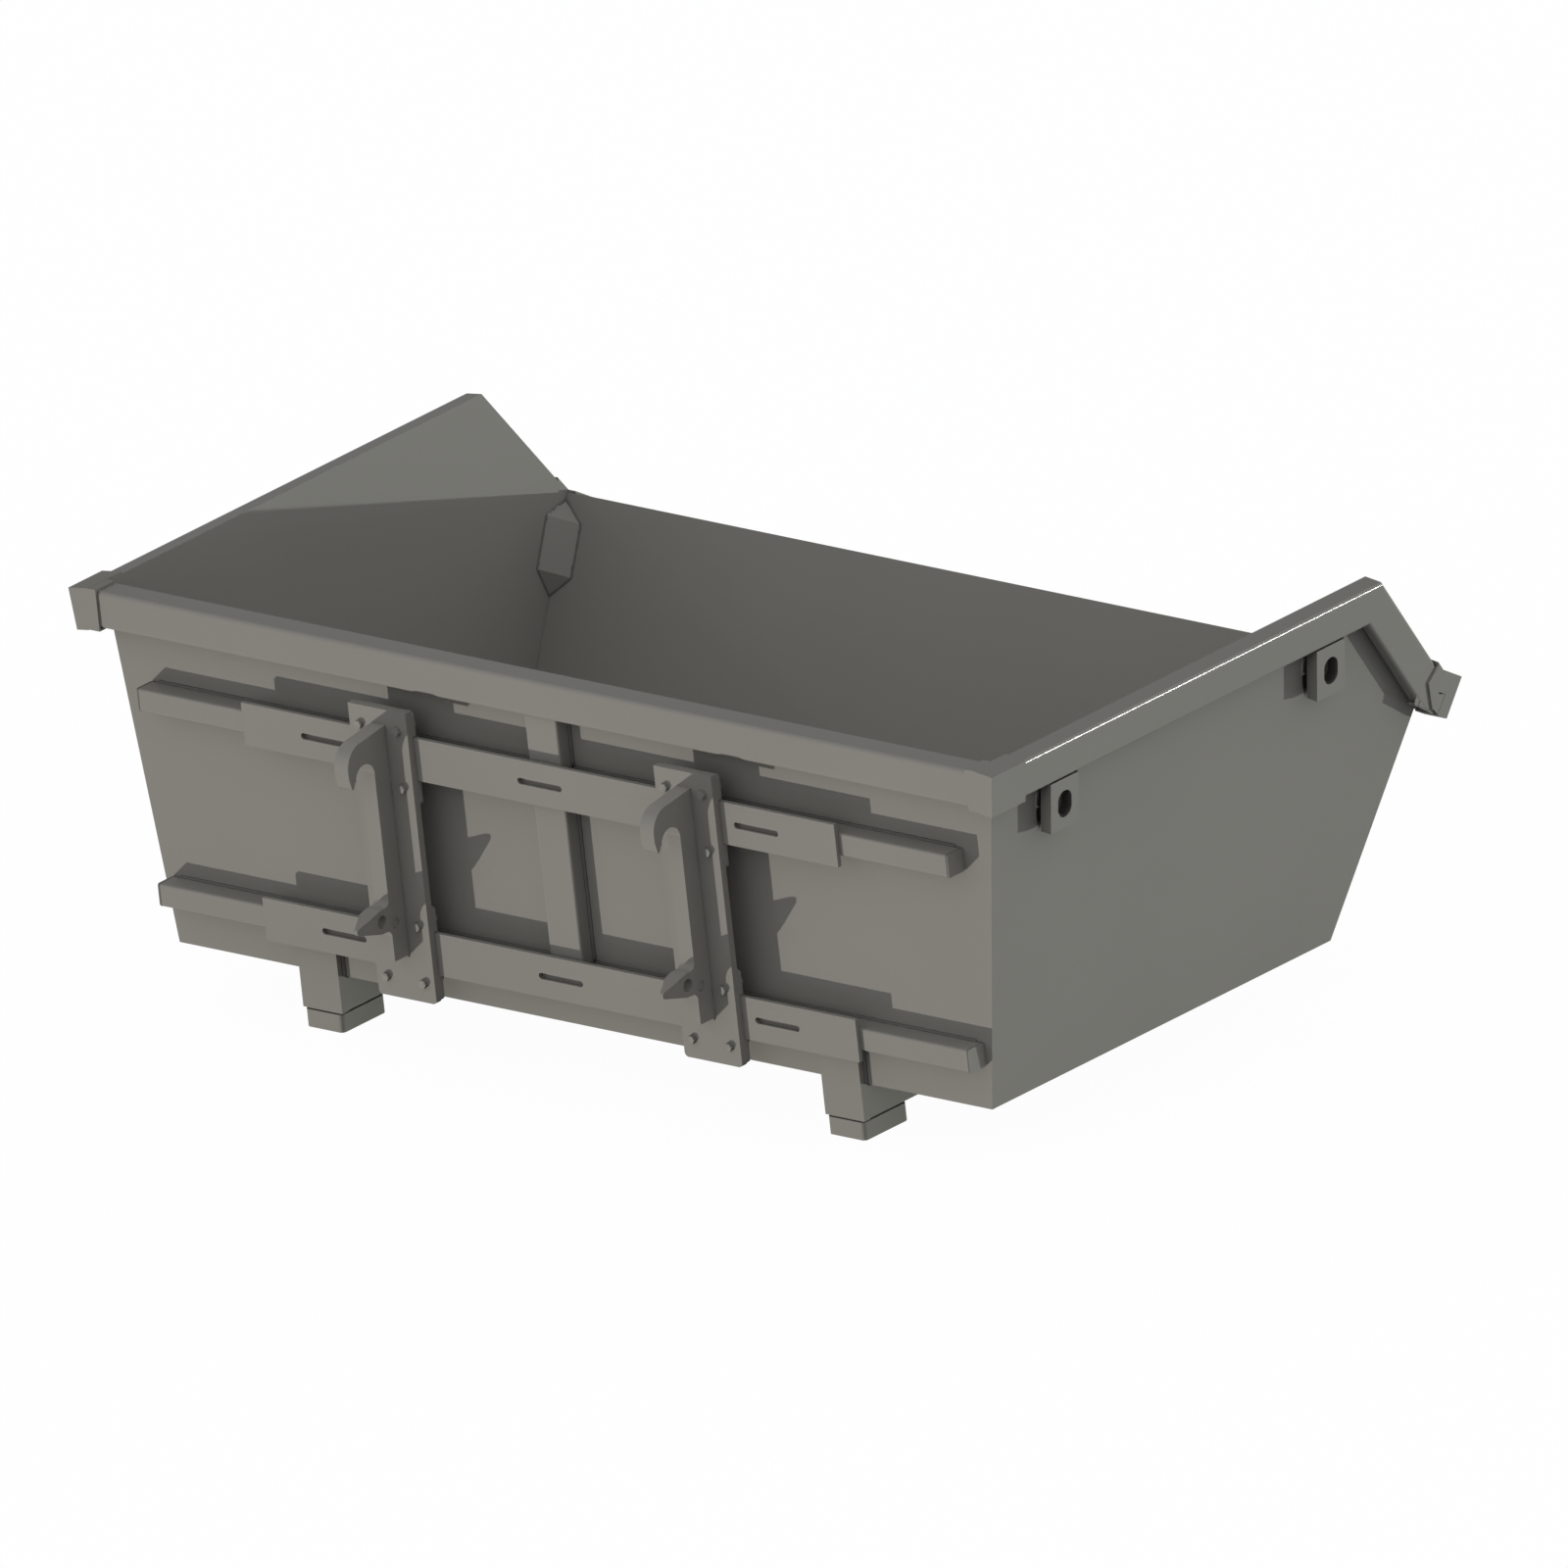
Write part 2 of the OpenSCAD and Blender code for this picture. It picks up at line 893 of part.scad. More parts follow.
// Outline of the hook above the ear, in Y and Z
module hook_outline() {
    crown_z = throat_z + throat_r + crown_h - crown_r;
    tip_y = throat_y - throat_r - nose_tip;
    tip_z = throat_z - nose_drop;
    difference() {
        union() {
            polygon([[plate_front, web_bottom], [plate_front, crown_z + crown_r + crown_rise],
                [throat_y, crown_z + crown_r], [throat_y, throat_z], [web_front, throat_z],
                [web_front, web_bottom]]);
            translate([throat_y, crown_z])
                circle(crown_r);
            polygon([[throat_y, crown_z], [throat_y - crown_r, crown_z],
                [throat_y - crown_r, throat_z + nose_drop],
                [tip_y - nose_tip, tip_z + nose_tip / 2], [tip_y - nose_tip / 2, tip_z],
                [tip_y, tip_z + nose_tip / 2], [throat_y - throat_r, throat_z + nose_tip],
                [throat_y, throat_z + nose_tip]]);
        }
        translate([throat_y, throat_z])
            circle(throat_r);
        polygon([[web_front, throat_z], [throat_y - throat_r, throat_z],
            [throat_y - throat_r, throat_z + nose_tip], [tip_y, tip_z + nose_tip / 2], [tip_y, web_bottom],
            [web_front, web_bottom]]);
    }
}

// Outline of the ear for the locking pin and its guide horn, in Y and Z
module ear_outline() {
    tip_y = ear_y - ear_r - horn_reach + horn_r;
    open = acos((ear_r - horn_r) / (ear_y - tip_y));
    difference() {
        union() {
            translate([ear_y, pin_z])
                circle(ear_r);
            translate([tip_y, pin_z])
                circle(horn_r);
            polygon([[ear_y, pin_z], [ear_y - ear_r * cos(open), pin_z + ear_r * sin(open)],
                [tip_y - horn_r * cos(open), pin_z + horn_r * sin(open)],
                [tip_y - horn_r * cos(open), pin_z - horn_r * sin(open)],
                [ear_y - ear_r * cos(open), pin_z - ear_r * sin(open)]]);
            translate([ear_y, pin_z - ear_r])
                square([web_front - ear_y, 2 * ear_r]);
            for (side = [-1, 1])
                translate([web_front, pin_z + side * ear_r])
                    difference() {
                        translate([-ear_fillet, side < 0 ? -ear_fillet : 0])
                            square(ear_fillet);
                        translate([-ear_fillet, side * ear_fillet])
                            circle(ear_fillet);
                    }
        }
        translate([ear_y, pin_z])
            circle(pin_d / 2);
    }
}

// Hook plate with its throat at the top and its ear and guide horn below
module hook() {
    difference() {
        along_x(-hook_t / 2, hook_t / 2)
            hook_outline();
        along_x(hook_t / 2 - recess_depth, hook_t / 2 + past)
            translate([ear_y + recess_back, pin_z - recess_drop])
                circle(recess_d / 2);
    }
    intersection() {
        along_x(-hook_t / 2, hook_t / 2)
            ear_outline();
        along_z(web_bottom, throat_z)
            polygon([[-hook_t / 2, web_front], [-hook_t / 2, ear_front],
                [hook_t / 2 - horn_inset - horn_tip_w, ear_front - horn_reach],
                [hook_t / 2 - horn_inset, ear_front - horn_reach],
                [hook_t / 2, ear_front], [hook_t / 2, web_front]]);
    }
}

module hook_left() {
    color(paint_dark)
        translate([-hook_pitch / 2, 0, 0])
            hook();
}

module hook_right() {
    color(paint_dark)
        translate([hook_pitch / 2, 0, 0])
            hook();
}

// Clamp of bolt row n: a heel as thick as the bar, with a narrower jaw that grips the bar from behind
module clamp(n) {
    center = n < 2 ? upper_z : lower_z;
    up = n % 2 == 0;
    near = tube_size / 2 + clamp_gap;
    heel = bar_w / 2 + heel_gap;
    far = bolt_row + plate_edge - clamp_inset;
    translate([0, 0, center])
        mirror([0, 0, up ? 0 : 1])
            difference() {
                union() {
                    along_y(bar_back, clamp_back)
                        clamp_face(plate_w - 2 * jaw_inset, near, far - jaw_inset);
                    along_y(bar_front, bar_back)
                        clamp_face(plate_w, heel, far);
                }
                along_y(bar_front - past, clamp_back + past)
                    for (x = [-bolt_pitch / 2, bolt_pitch / 2])
                        translate([x, bolt_row])
                            circle(hole_d / 2);
            }
}

// Face of width w from height low to height high, with the two upper corners rounded
module clamp_face(w, low, high) {
    translate([-w / 2, low])
        square([w, high - low - plate_corner_r]);
    translate([plate_corner_r - w / 2, low])
        square([w - 2 * plate_corner_r, high - low]);
    for (x = [-1, 1])
        translate([x * (w / 2 - plate_corner_r), high - plate_corner_r])
            circle(plate_corner_r);
}

// Clamp of bolt row n on the left or right hook
module placed_clamp(side, n) {
    color(paint_dark)
        translate([side * hook_pitch / 2, 0, 0])
            clamp(n);
}

// Bolts of one hook, each with its head on the base plate side
module bolts() {
    head = bolt_d * head_ratio;
    under = plate_front - washer_t;
    tip = clamp_back + washer_t + bolt_d * nut_ratio + bolt_over;
    along_y(under - head, under)
        at_bolts()
            circle(d = bolt_d * hex_ratio / cos(30), $fn = 6);
    along_y(under, tip)
        at_bolts()
            circle(bolt_d / 2);
}

// Washers of one hook, on the base plate and behind the clamps
module washers() {
    for (y = [plate_front - washer_t, clamp_back])
        along_y(y, y + washer_t)
            at_bolts()
                difference() {
                    circle(bolt_d * washer_ratio / 2);
                    circle(hole_d / 2);
                }
}

// Nuts of one hook, behind the clamps
module nuts() {
    seat = clamp_back + washer_t;
    along_y(seat, seat + bolt_d * nut_ratio)
        at_bolts()
            difference() {
                circle(d = bolt_d * hex_ratio / cos(30), $fn = 6);
                circle(bolt_d / 2 + round_clear);
            }
}

module bolts_left() {
    color(paint)
        translate([-hook_pitch / 2, 0, 0])
            bolts();
}

module bolts_right() {
    color(paint)
        translate([hook_pitch / 2, 0, 0])
            bolts();
}

module washers_left() {
    color(paint)
        translate([-hook_pitch / 2, 0, 0])
            washers();
}

module washers_right() {
    color(paint)
        translate([hook_pitch / 2, 0, 0])
            washers();
}

module nuts_left() {
    color(paint)
        translate([-hook_pitch / 2, 0, 0])
            nuts();
}

module nuts_right() {
    color(paint)
        translate([hook_pitch / 2, 0, 0])
            nuts();
}

runner_end = floor_depth - runner_back;

// Plate from the lower tube down to the foot, in front of a runner
module leg() {
    along_y(-leg_t, 0)
        translate([-runner_w / 2, runner_z])
            square([runner_w, lower_z - tube_size / 2 - runner_z]);
}

// Rectangular runner under the floor
module runner() {
    along_y(0, runner_end)
        translate([0, runner_z + runner_h / 2])
            difference() {
                rounded_rect(runner_w, runner_h, tube_corner_r);
                rounded_rect(runner_w - 2 * runner_t, runner_h - 2 * runner_t, tube_corner_r / 2);
            }
}

// Foot pad from y to y plus its length
module pad(y) {
    along_z(0, pad_h)
        translate([0, y + pad_len / 2])
            rounded_rect(pad_w, pad_len, pad_r);
}

module leg_left() {
    color(paint)
        translate([-runner_pitch / 2, 0, 0])
            leg();
}

module leg_right() {
    color(paint)
        translate([runner_pitch / 2, 0, 0])
            leg();
}

module runner_left() {
    color(paint)
        translate([-runner_pitch / 2, 0, 0])
            runner();
}

module runner_right() {
    color(paint)
        translate([runner_pitch / 2, 0, 0])
            runner();
}

// Foot pad on the left or right runner, at its front or rear end
module placed_pad(side, y) {
    color(paint_dark)
        translate([side * runner_pitch / 2, 0, 0])
            pad(y);
}

module shims() {
    color(paint_dark)
        for (side = [-1, 1], y = [-leg_t, runner_end - pad_len])
            along_z(pad_h, runner_z)
                translate([side * runner_pitch / 2, y + pad_len / 2])
                    square([pad_w - 2 * shim_inset, pad_len - 2 * shim_inset], center = true);
}

// Moves a piece from the frame of the hook-side wall to the middle of the whole bucket
module placed() {
    translate([0, -mid_y, 0])
        children();
}

placed() front_wall();
placed() floor_plate();
placed() back_wall();
placed() end_wall_left();
placed() end_wall_right();
placed() front_rim();
placed() lip_rim();
placed() side_rim_left();
placed() side_rim_right();
placed() slope_rim_left();
placed() slope_rim_right();
placed() corner_cap_left();
placed() corner_cap_right();
placed() tip_cap_left();
placed() tip_cap_right();
placed() gusset_left();
placed() gusset_right();
placed() lug_front_left();
placed() lug_front_right();
placed() lug_rear_left();
placed() lug_rear_right();
placed() tube_upper();
placed() tube_lower();
placed() tube_plugs();
placed() post_upper();
placed() post_lower();
placed() bar_upper();
placed() bar_lower();
placed() base_plate_left();
placed() base_plate_right();
placed() hook_left();
placed() hook_right();
placed() placed_clamp(-1, 0);  // clamp_left_1
placed() placed_clamp(-1, 1);  // clamp_left_2
placed() placed_clamp(-1, 2);  // clamp_left_3
placed() placed_clamp(-1, 3);  // clamp_left_4
placed() placed_clamp(1, 0);  // clamp_right_1
placed() placed_clamp(1, 1);  // clamp_right_2
placed() placed_clamp(1, 2);  // clamp_right_3
placed() placed_clamp(1, 3);  // clamp_right_4
placed() bolts_left();
placed() bolts_right();
placed() washers_left();
placed() washers_right();
placed() nuts_left();
placed() nuts_right();
placed() leg_left();
placed() leg_right();
placed() runner_left();
placed() runner_right();
placed() placed_pad(-1, -leg_t);  // pad_front_left
placed() placed_pad(1, -leg_t);  // pad_front_right
placed() placed_pad(-1, runner_end - pad_len);  // pad_rear_left
placed() placed_pad(1, runner_end - pad_len);  // pad_rear_right
placed() shims();
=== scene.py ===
"""Container bucket: looks, weld beads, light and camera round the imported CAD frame. Metres."""
import json
import math

import bpy
from mathutils import Matrix, Vector


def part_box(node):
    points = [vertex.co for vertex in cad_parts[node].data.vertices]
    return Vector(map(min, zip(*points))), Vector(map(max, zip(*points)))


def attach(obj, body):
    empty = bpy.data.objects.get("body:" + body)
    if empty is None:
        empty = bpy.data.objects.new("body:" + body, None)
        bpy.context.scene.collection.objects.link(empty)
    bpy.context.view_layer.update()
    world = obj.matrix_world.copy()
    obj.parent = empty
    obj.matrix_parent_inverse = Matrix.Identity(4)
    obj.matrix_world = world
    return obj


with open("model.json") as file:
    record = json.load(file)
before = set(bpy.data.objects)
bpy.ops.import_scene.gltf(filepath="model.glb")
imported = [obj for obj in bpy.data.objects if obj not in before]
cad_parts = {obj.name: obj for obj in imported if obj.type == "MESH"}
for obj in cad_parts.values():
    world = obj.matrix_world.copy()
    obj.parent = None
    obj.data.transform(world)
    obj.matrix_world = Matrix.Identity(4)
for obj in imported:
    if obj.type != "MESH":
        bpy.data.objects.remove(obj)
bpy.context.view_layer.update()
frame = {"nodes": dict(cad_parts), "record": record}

scene = bpy.context.scene
nodes = frame["nodes"]

X, Y, Z = Vector((1, 0, 0)), Vector((0, 1, 0)), Vector((0, 0, 1))
HANDS = {"left": -1, "right": 1}
LUGS = [f"lug_{end}_{hand}" for end in ("front", "rear") for hand in HANDS]

# Colours, linear
PAINT = (0.212, 0.204, 0.182)
ZINC = (0.20, 0.195, 0.175)
# Weld beads, darker than the paint: partly their own colour, partly painted shade along the joints
SEAM = (0.12, 0.116, 0.104)
# Painted shade in seams and hollows
CREVICE_SHADE = (0.02, 0.018, 0.015)
# Painted shade behind and beside the lugs
LUG_SHADE = (0.008, 0.007, 0.006)
BLACK = (0.0, 0.0, 0.0)
WHITE = (1.0, 1.0, 1.0)

# Noise patterns: scale in cycles per metre, then detail and roughness of the pattern
CLOUDS = (2.5, 2.0, 0.5)
SPECKS = (420.0, 2.0, 0.5)
UNEVEN = (9.0, 3.0, 0.6)
PEEL = (260.0, 2.0, 0.45)
WAVES = (2.2, 1.0, 0.4)
GRIT = (120.0, 4.0, 0.6)
TURNING = (600.0, 2.0, 0.5)

# Values of the noise between which each pattern sets in
CLOUD_RANGE = (0.35, 0.65)
SPECK_RANGE = (0.42, 0.62)
UNEVEN_RANGE = (0.3, 0.7)
GRIT_RANGE = (0.4, 0.7)

# How far each pattern changes the tone or the roughness
CLOUD_CHANGE = 0.015
SPECK_COVER, SPECK_TONE = 0.03, 0.85
GRIT_COVER, GRIT_TONE = 0.5, 0.75
ROUGH_CHANGE = 0.03
ZINC_ROUGH = (0.48, 0.62)

# Bumps: strength and height
PEEL_BUMP = (0.02, 0.0004)
WAVE_BUMP = (0.02, 0.002)
TURNING_BUMP = (0.2, 0.0002)

# Shine of the paint's clear coat and of the fasteners
COAT_ROUGH = 0.07
ZINC_SHINE = 0.08

# Painted shade in seams and hollows: reach, how open a place is at the seam and clear of it, and the
# brightness at each
SHADE_SAMPLES = 6
NARROW = (0.012, (0.10, 0.62), (0.35, 1.0))
WIDE = (0.05, (0.48, 0.72), (0.06, 1.0))

# Painted shade on level faces: a face begins to count as level, and is level, at these upward parts of its
# normal, and is darkened to the tone below
LEVEL_RANGE = (0.95, 0.99)
LEVEL_TONE = 0.78

# The walls, as in the CAD source
END_LEAN = math.radians(7.5)
BACK_LEAN = math.radians(31.8)
SHEET = 0.004
HALF_FLOOR = 0.884
FLOOR_DEPTH = 0.849

# Painted shade on the end walls, seen through each lug's hole and in the gap beside the lug:
# place along the wall from the lug's middle, place up the wall, half width and half height
SPOTS = ((0.024, 0.7089, 0.024, 0.024), (-0.0237, 0.718, 0.0088, 0.047))
SPOT_COVER = 0.92
SPOT_EDGE = (0.76, 1.0)

# The spots lie on the end walls' outer skin, between these distances out, square to the wall
SKIN = (0.8625, 0.8669)

# Leg of each kind of weld bead
LEG = {"tube": 0.004, "post": 0.0045, "hook": 0.005, "foot": 0.005, "runner": 0.0055, "floor": 0.004,
       "gusset": 0.0022}

# A bead has a ring of points at each crest and each dip of its ripples. The swell of a crest and a dip is a
# part of the leg, and the slower swells are a height, a rate from ring to ring and a phase.
PITCH = 0.0032
FEWEST_STEPS = 4
CREST, DIP = 0.09, -0.05
WANDER = ((0.06, 0.37, 0.0), (0.04, 1.7, 1.0))
END_SWELL = 0.55

# Section of a bead, as parts of the leg: how deep its root lies, and how far out its round face is at the
# ends and more in the middle. The face has points at these parts of a quarter turn.
ROOT = 0.25
ROUND, BULGE = 0.69, 0.115
ROUND_STEPS = (0.25, 0.5, 0.75)

# How far beads stop short of a tube's end, of a corner, of the wall behind a post, and of a leg's top
TUBE_END_GAP = 0.012
STOP_SHORT = 0.004
OFF_WALL = 0.006
LEG_TOP_GAP = 0.002

# Edges of a gusset that are welded: how near the wall, how long and how far from the gusset's middle they
# have to be. Their ends are rounded to these decimals, so that an edge of two faces is found once.
TOUCH = 0.001
EDGE_LENGTH = 0.012
EDGE_AWAY = 0.008
ROUND_TO = 4

# Rings over the seams of the tube plugs: the tube's corner, and the ring's half width, inside and outside
TUBE_R = 0.004
RING_HALF, RING_IN, RING_OUT = 0.0011, -0.001, 0.0004
CORNER_POINTS = 5

# Outlines, on the right side, of the plates that close the lip rim's ends: one in the tip cap and one in the
# end of the rim. Then the depths of a plate's two faces under its outline.
TIP = [(0.9725, 0.5875, 0.4680), (0.9706, 0.6172, 0.4560), (0.9661, 0.6172, 0.4210),
       (0.9670, 0.5965, 0.4275), (0.9688, 0.5855, 0.4405)]
END = [(0.9700, 0.5513, 0.4849), (0.9630, 0.6054, 0.4323), (0.9628, 0.5881, 0.4305), (0.9671, 0.5439, 0.4629)]
PLATE_DEPTHS = (0.0005, 0.0030)

# Lamps: the way they shine, strength, angle in degrees and colour. The first two shine upward from below.
LAMPS = {"key": (Vector((0.87, 1.0, 0.76)), 2.67, 0.5, (1.0, 0.96, 0.93)),
         "side": (Vector((-1.0, -1.28, 0.38)), 1.82, 0.5, (0.95, 1.0, 0.99)),
         "gloss": (Vector((-0.667, -0.685, -0.29)), 4.0, 18.0, (1.0, 1.0, 0.98))}

# Sky: two heights, with 0 straight down and 1 straight up, the brightness at each, the tint, and the part
# of the brightness that reflections show
SKY_HEIGHTS = (0.40, 0.75)
SKY_LIGHT = (0.71, 0.86)
SKY_TINT = (0.975, 0.995, 1.04)
SKY_MIRROR = 0.3

# Floor: half its width, how far it lies under the feet, its grey to the bucket, and its glow to the camera
FLOOR_HALF = 30.0
FLOOR_DROP = 0.0005
FLOOR_GREY = (0.30, 0.30, 0.30)
FLOOR_GLOW = 0.97

# Camera, fitted to the photograph
RIGHT = Vector((0.7508, 0.6507, -0.1023))
UP = Vector((-0.1563, 0.3249, 0.9335))
CENTRE = Vector((0.0, 0.0556, 0.3335))
FRAME_WIDTH = 2.5645
CAMERA_AWAY = 10.0
CLIP = (0.1, 60.0)


def rgba(colour, level=1.0):
    """Colour at a brightness, with full alpha."""
    return tuple(c * level for c in colour) + (1.0,)


def feed(tree, value, socket):
    """Links a socket to another node's output, or sets it to a plain value."""
    if hasattr(value, "is_output"):
        tree.links.new(value, socket)
    else:
        socket.default_value = value


def mix_rgb(tree, factor, a, b, blend="MIX"):
    """Colour mix of two inputs."""
    node = tree.nodes.new("ShaderNodeMix")
    node.data_type = "RGBA"
    node.blend_type = blend
    for name, value in (("Factor", factor), ("A", a), ("B", b)):
        feed(tree, value, [s for s in node.inputs if s.name == name and s.enabled][0])
    return [s for s in node.outputs if s.enabled][0]


def mix_shader(tree, factor, a, b):
    """Mix of two shaders."""
    node = tree.nodes.new("ShaderNodeMixShader")
    for socket, value in zip(node.inputs, (factor, a, b)):
        feed(tree, value, socket)
    return node.outputs[0]


def math_node(tree, operation, *values):
    """Result of one sum on its inputs."""
    node = tree.nodes.new("ShaderNodeMath")
    node.operation = operation
    for socket, value in zip(node.inputs, values):
        feed(tree, value, socket)
    return node.outputs[0]


def ramp(tree, source, places, values=(0.0, 1.0)):
    """Greyscale ramp between two places, from one value to the other."""
    node = tree.nodes.new("ShaderNodeValToRGB")
    tree.links.new(source, node.inputs["Fac"])
    for element, place, value in zip(node.color_ramp.elements, places, values):
        element.position = place
        element.color = (value, value, value, 1)
    return node.outputs["Color"]


def noise(tree, where, scale, detail, rough):
    """Noise pattern at real scale."""
    node = tree.nodes.new("ShaderNodeTexNoise")
    node.inputs["Scale"].default_value = scale
    node.inputs["Detail"].default_value = detail
    node.inputs["Roughness"].default_value = rough
    tree.links.new(where, node.inputs["Vector"])
    return node.outputs["Fac"]


def bump(tree, height, strength, distance):
    """Bump node over a height pattern."""
    node = tree.nodes.new("ShaderNodeBump")
    node.inputs["Strength"].default_value = strength
    node.inputs["Distance"].default_value = distance
    tree.links.new(height, node.inputs["Height"])
    return node


def parts_of(tree, vector):
    """The x, y and z outputs of a vector."""
    node = tree.nodes.new("ShaderNodeSeparateXYZ")
    tree.links.new(vector, node.inputs[0])
    return node.outputs


def paint_crevice_shade(tree, tone, reach, openness, brightness):
    """Paints shade into a tone in narrow seams and hollows, darker where a place is more closed in."""
    node = tree.nodes.new("ShaderNodeAmbientOcclusion")
    node.samples = SHADE_SAMPLES
    node.inputs["Distance"].default_value = reach
    return mix_rgb(tree, ramp(tree, node.outputs["AO"], openness, brightness), rgba(CREVICE_SHADE), tone)


def scaled_sum(tree, a, a_scale, b, b_scale):
    """a and b, each times its own scale, added up."""
    return math_node(tree, "ADD", math_node(tree, "MULTIPLY", a, a_scale),
                     math_node(tree, "MULTIPLY", b, b_scale))


def paint_lug_shade(tree, where, tone):
    """Paints shade on the end walls' outer skin, behind and beside each lifting lug, where the lug shades the
    wall.
    """
    x, y, z = parts_of(tree, where)
    x = math_node(tree, "ABSOLUTE", x)
    out = scaled_sum(tree, x, math.cos(END_LEAN), z, -math.sin(END_LEAN))
    up = scaled_sum(tree, x, math.sin(END_LEAN), z, math.cos(END_LEAN))
    nearest = 1.0
    for lug in ("lug_front_left", "lug_rear_left"):
        middle = sum(corner.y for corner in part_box(lug)) / 2
        for along, height, half_width, half_height in SPOTS:
            a = math_node(tree, "DIVIDE", math_node(tree, "SUBTRACT", y, middle + along), half_width)
            b = math_node(tree, "DIVIDE", math_node(tree, "SUBTRACT", up, height), half_height)
            away = math_node(tree, "SQRT", scaled_sum(tree, a, a, b, b))
            nearest = math_node(tree, "MINIMUM", nearest, away)
    cover = ramp(tree, nearest, SPOT_EDGE, (SPOT_COVER, 0.0))
    skin = math_node(tree, "MULTIPLY", math_node(tree, "GREATER_THAN", out, SKIN[0]),
                     math_node(tree, "LESS_THAN", out, SKIN[1]))
    return mix_rgb(tree, math_node(tree, "MULTIPLY", cover, skin), tone, rgba(LUG_SHADE))


def new_material(name):
    """New material: itself, its node tree, its main shader and the point on the object in metres."""
    material = bpy.data.materials.new(name)
    material.use_nodes = True
    tree = material.node_tree
    where = tree.nodes.new("ShaderNodeTexCoord").outputs["Object"]
    return material, tree, tree.nodes["Principled BSDF"], where


def painted(name, colour, peel=1.0, rough=0.55, coat=0.5, lug_shade=False, level=1.0, seam=NARROW):
    """Sprayed paint on steel: faint clouds and fine orange peel, with painted shade on level faces, in seams
    and optionally by the lugs.
    """
    material, tree, shader, where = new_material(name)
    cloud = ramp(tree, noise(tree, where, *CLOUDS), CLOUD_RANGE)
    tone = mix_rgb(tree, cloud, rgba(colour, 1 - CLOUD_CHANGE), rgba(colour, 1 + CLOUD_CHANGE))
    speck = ramp(tree, noise(tree, where, *SPECKS), SPECK_RANGE)
    tone = mix_rgb(tree, math_node(tree, "MULTIPLY", speck, SPECK_COVER), tone, rgba(colour, SPECK_TONE))
    if lug_shade:
        tone = paint_lug_shade(tree, where, tone)
    normal = tree.nodes.new("ShaderNodeNewGeometry").outputs["True Normal"]
    level_shade = ramp(tree, parts_of(tree, normal)["Z"], LEVEL_RANGE, (1.0, level))
    tone = mix_rgb(tree, level_shade, rgba(BLACK), tone)
    tree.links.new(paint_crevice_shade(tree, tone, *seam), shader.inputs["Base Color"])
    rough_values = (rough - ROUGH_CHANGE, rough + ROUGH_CHANGE)
    uneven = ramp(tree, noise(tree, where, *UNEVEN), UNEVEN_RANGE, rough_values)
    tree.links.new(uneven, shader.inputs["Roughness"])
    shader.inputs["Specular IOR Level"].default_value = 0.0
    shader.inputs["Coat Weight"].default_value = coat
    shader.inputs["Coat Roughness"].default_value = COAT_ROUGH
    strength, height = PEEL_BUMP
    grain = bump(tree, noise(tree, where, *PEEL), strength * peel, height)
    plate = bump(tree, noise(tree, where, *WAVES), *WAVE_BUMP)
    tree.links.new(plate.outputs["Normal"], grain.inputs["Normal"])
    tree.links.new(grain.outputs["Normal"], shader.inputs["Normal"])
    return material


def fastener(name, colour):
    """Dull coated steel with fine turning marks, a little grime, and painted shade in its seams."""
    material, tree, shader, where = new_material(name)
    grime = ramp(tree, noise(tree, where, *GRIT), GRIT_RANGE)
    cover = math_node(tree, "MULTIPLY", grime, GRIT_COVER)
    tone = mix_rgb(tree, cover, rgba(colour), rgba(colour, GRIT_TONE))
    tree.links.new(paint_crevice_shade(tree, tone, *NARROW), shader.inputs["Base Color"])
    tree.links.new(ramp(tree, grime, (0.0, 1.0), ZINC_ROUGH), shader.inputs["Roughness"])
    shader.inputs["Specular IOR Level"].default_value = ZINC_SHINE
    marks = bump(tree, noise(tree, where, *TURNING), *TURNING_BUMP)
    tree.links.new(marks.outputs["Normal"], shader.inputs["Normal"])
    return material


def dress_nodes():
    """Gives each CAD node the look of its slot, or a look of its own."""
    look = {"body_paint": painted("body_paint", PAINT, lug_shade=True, level=LEVEL_TONE),
            "frame_paint": painted("frame_paint", PAINT),
            "foot_paint": painted("foot_paint", PAINT, rough=0.6),
            "zinc_steel": fastener("zinc_steel", ZINC)}
    # The lugs get painted shade of a wider reach in their seams
    own = dict.fromkeys(LUGS, painted("lug_paint", PAINT, seam=WIDE))
    own["corner_cap_left"] = painted("flat_paint", PAINT, coat=0.0, level=LEVEL_TONE)
    for sub in frame["record"]["subparts"]:
        materials = nodes[sub["node"]].data.materials
        materials.clear()
        materials.append(own.get(sub["node"], look[sub["material_slot"]]))


def add_piece(name, verts, faces, material, smooth=False):
    """New piece on the root body, from its points and faces."""
    mesh = bpy.data.meshes.new(name)
    mesh.from_pydata(verts, [], faces)
    mesh.validate()
    mesh.polygons.foreach_set("use_smooth", [smooth] * len(mesh.polygons))
    mesh.update()
    mesh.materials.append(material)
    piece = bpy.data.objects.new(name, mesh)
    scene.collection.objects.link(piece)
    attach(piece, "root")


